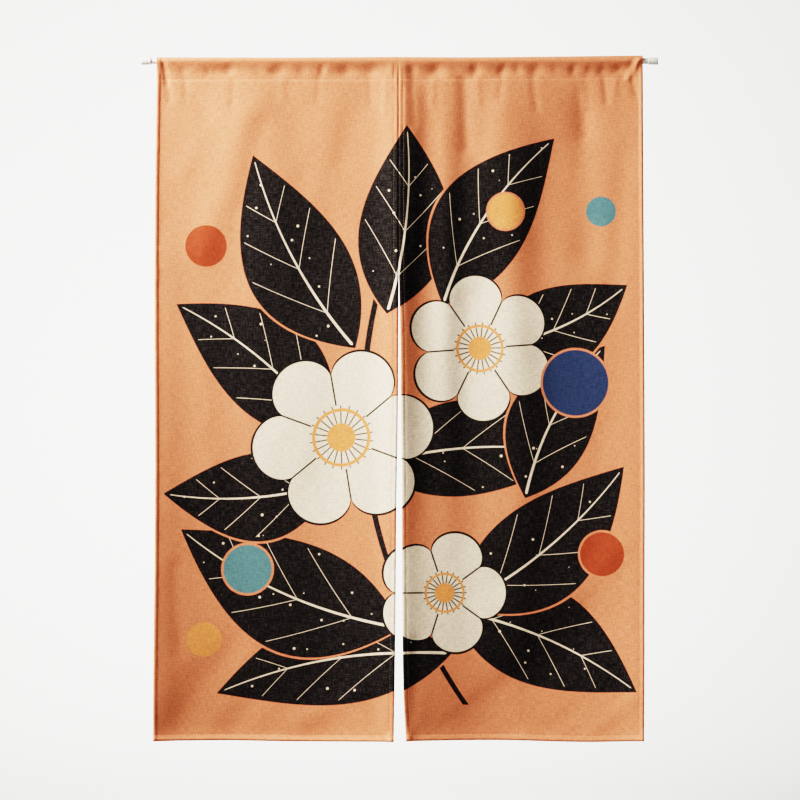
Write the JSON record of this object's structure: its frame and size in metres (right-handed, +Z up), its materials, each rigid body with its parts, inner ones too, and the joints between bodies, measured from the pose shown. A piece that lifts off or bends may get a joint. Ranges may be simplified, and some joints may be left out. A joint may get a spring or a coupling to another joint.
{
  "type": "noren curtain and rod",
  "caption": "Split doorway curtain of printed cotton-linen cloth, hung by a sewn casing from a slim white rod with soft end caps.",
  "frame": {"origin": "midpoint of the rod's axis", "axes": "+X along the rod to the right as seen from the front, +Z up, the printed front faces -Y"},
  "size_m": [0.9, 0.03, 1.1951],
  "materials": {
    "printed_cloth": "plain-woven cotton-linen, matt, printed",
    "rod_paint": "smooth white enamel",
    "cap_rubber": "matt white"
  },
  "bodies": {
    "root": {"left_panel": "printed_cloth", "right_panel": "printed_cloth", "rod": "rod_paint", "left_cap": "cap_rubber", "right_cap": "cap_rubber"}
  },
  "joints": []
}
